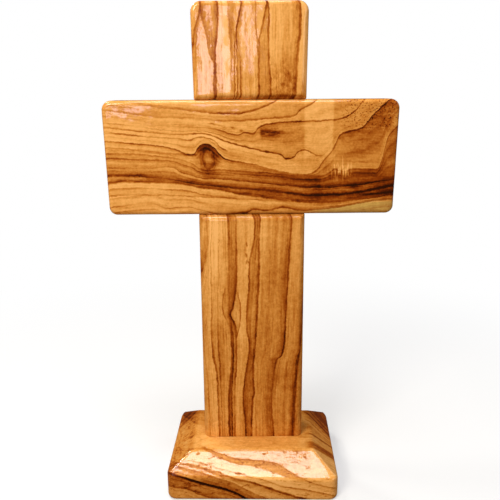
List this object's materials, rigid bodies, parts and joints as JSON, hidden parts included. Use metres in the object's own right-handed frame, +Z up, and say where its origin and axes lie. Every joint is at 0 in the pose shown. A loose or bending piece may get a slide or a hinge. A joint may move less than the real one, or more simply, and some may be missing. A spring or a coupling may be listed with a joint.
{
  "type": "standing table cross",
  "caption": "Small standing cross of lacquered olive-wood boards on a bevelled wooden base, for an altar or table.",
  "frame": {"origin": "centre of the base's underside, which is the bottom centre of the whole cross", "axes": "+Z up along the post; +X along the crossbar towards its end on the right of someone facing the cross; +Y from the front face to the back"},
  "size_m": [0.1164, 0.0548, 0.2],
  "materials": {
    "olive_wood": "clear gloss lacquer over strongly figured olive wood",
    "dowel_wood": "bare beech",
    "screw_steel": "zinc-plated"
  },
  "bodies": {
    "root": {"base_block": "olive_wood", "lower_post": "olive_wood", "crossbar": "olive_wood", "upper_arm": "olive_wood", "lower_dowel_left": "dowel_wood", "lower_dowel_right": "dowel_wood", "upper_dowel_left": "dowel_wood", "upper_dowel_right": "dowel_wood", "base_screw_left": "screw_steel", "base_screw_right": "screw_steel"}
  },
  "joints": []
}
